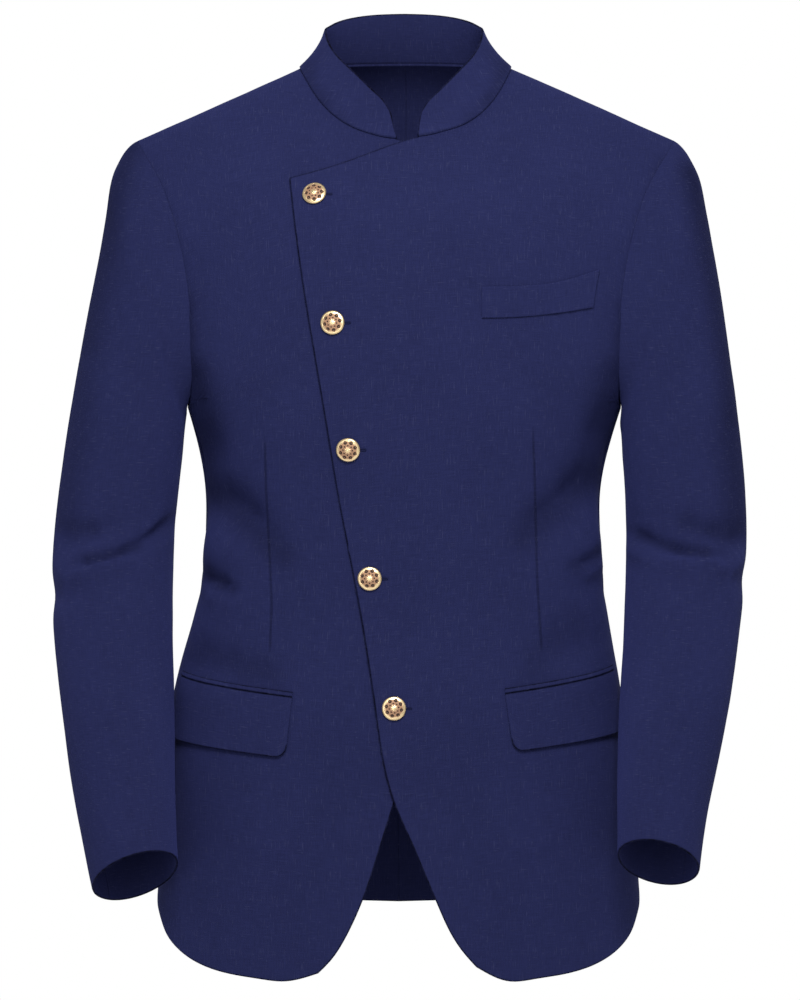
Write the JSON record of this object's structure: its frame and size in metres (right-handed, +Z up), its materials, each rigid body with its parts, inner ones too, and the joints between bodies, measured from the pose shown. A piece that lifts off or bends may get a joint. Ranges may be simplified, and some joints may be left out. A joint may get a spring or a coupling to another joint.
{
  "type": "bandhgala jacket",
  "caption": "Fitted navy jacket with a standing collar, a slanting overlapped front with domed gold buttons, a chest welt and flap pockets, filled out as if worn.",
  "frame": {"origin": "middle of the neck, level with the inner ends of the shoulder seams, where the wearer's neck and shoulders hold the jacket", "axes": "+Z up, +X towards the wearer's left, so the front faces -Y"},
  "size_m": [0.5822, 0.2985, 0.8118],
  "materials": {
    "navy_suiting": "matt plain weave with faint slubs",
    "antique_gold": "satin gold, dark in its recesses"
  },
  "bodies": {
    "root": {"front_left": "navy_suiting", "front_right": "navy_suiting", "back_left": "navy_suiting", "back_right": "navy_suiting", "top_sleeve_left": "navy_suiting", "under_sleeve_left": "navy_suiting", "top_sleeve_right": "navy_suiting", "under_sleeve_right": "navy_suiting", "collar": "navy_suiting", "chest_welt": "navy_suiting", "pocket_flap_left": "navy_suiting", "pocket_flap_right": "navy_suiting", "pocket_jet_left": "navy_suiting", "pocket_jet_right": "navy_suiting", "button_1": "antique_gold", "button_2": "antique_gold", "button_3": "antique_gold", "button_4": "antique_gold", "button_5": "antique_gold"}
  },
  "joints": []
}
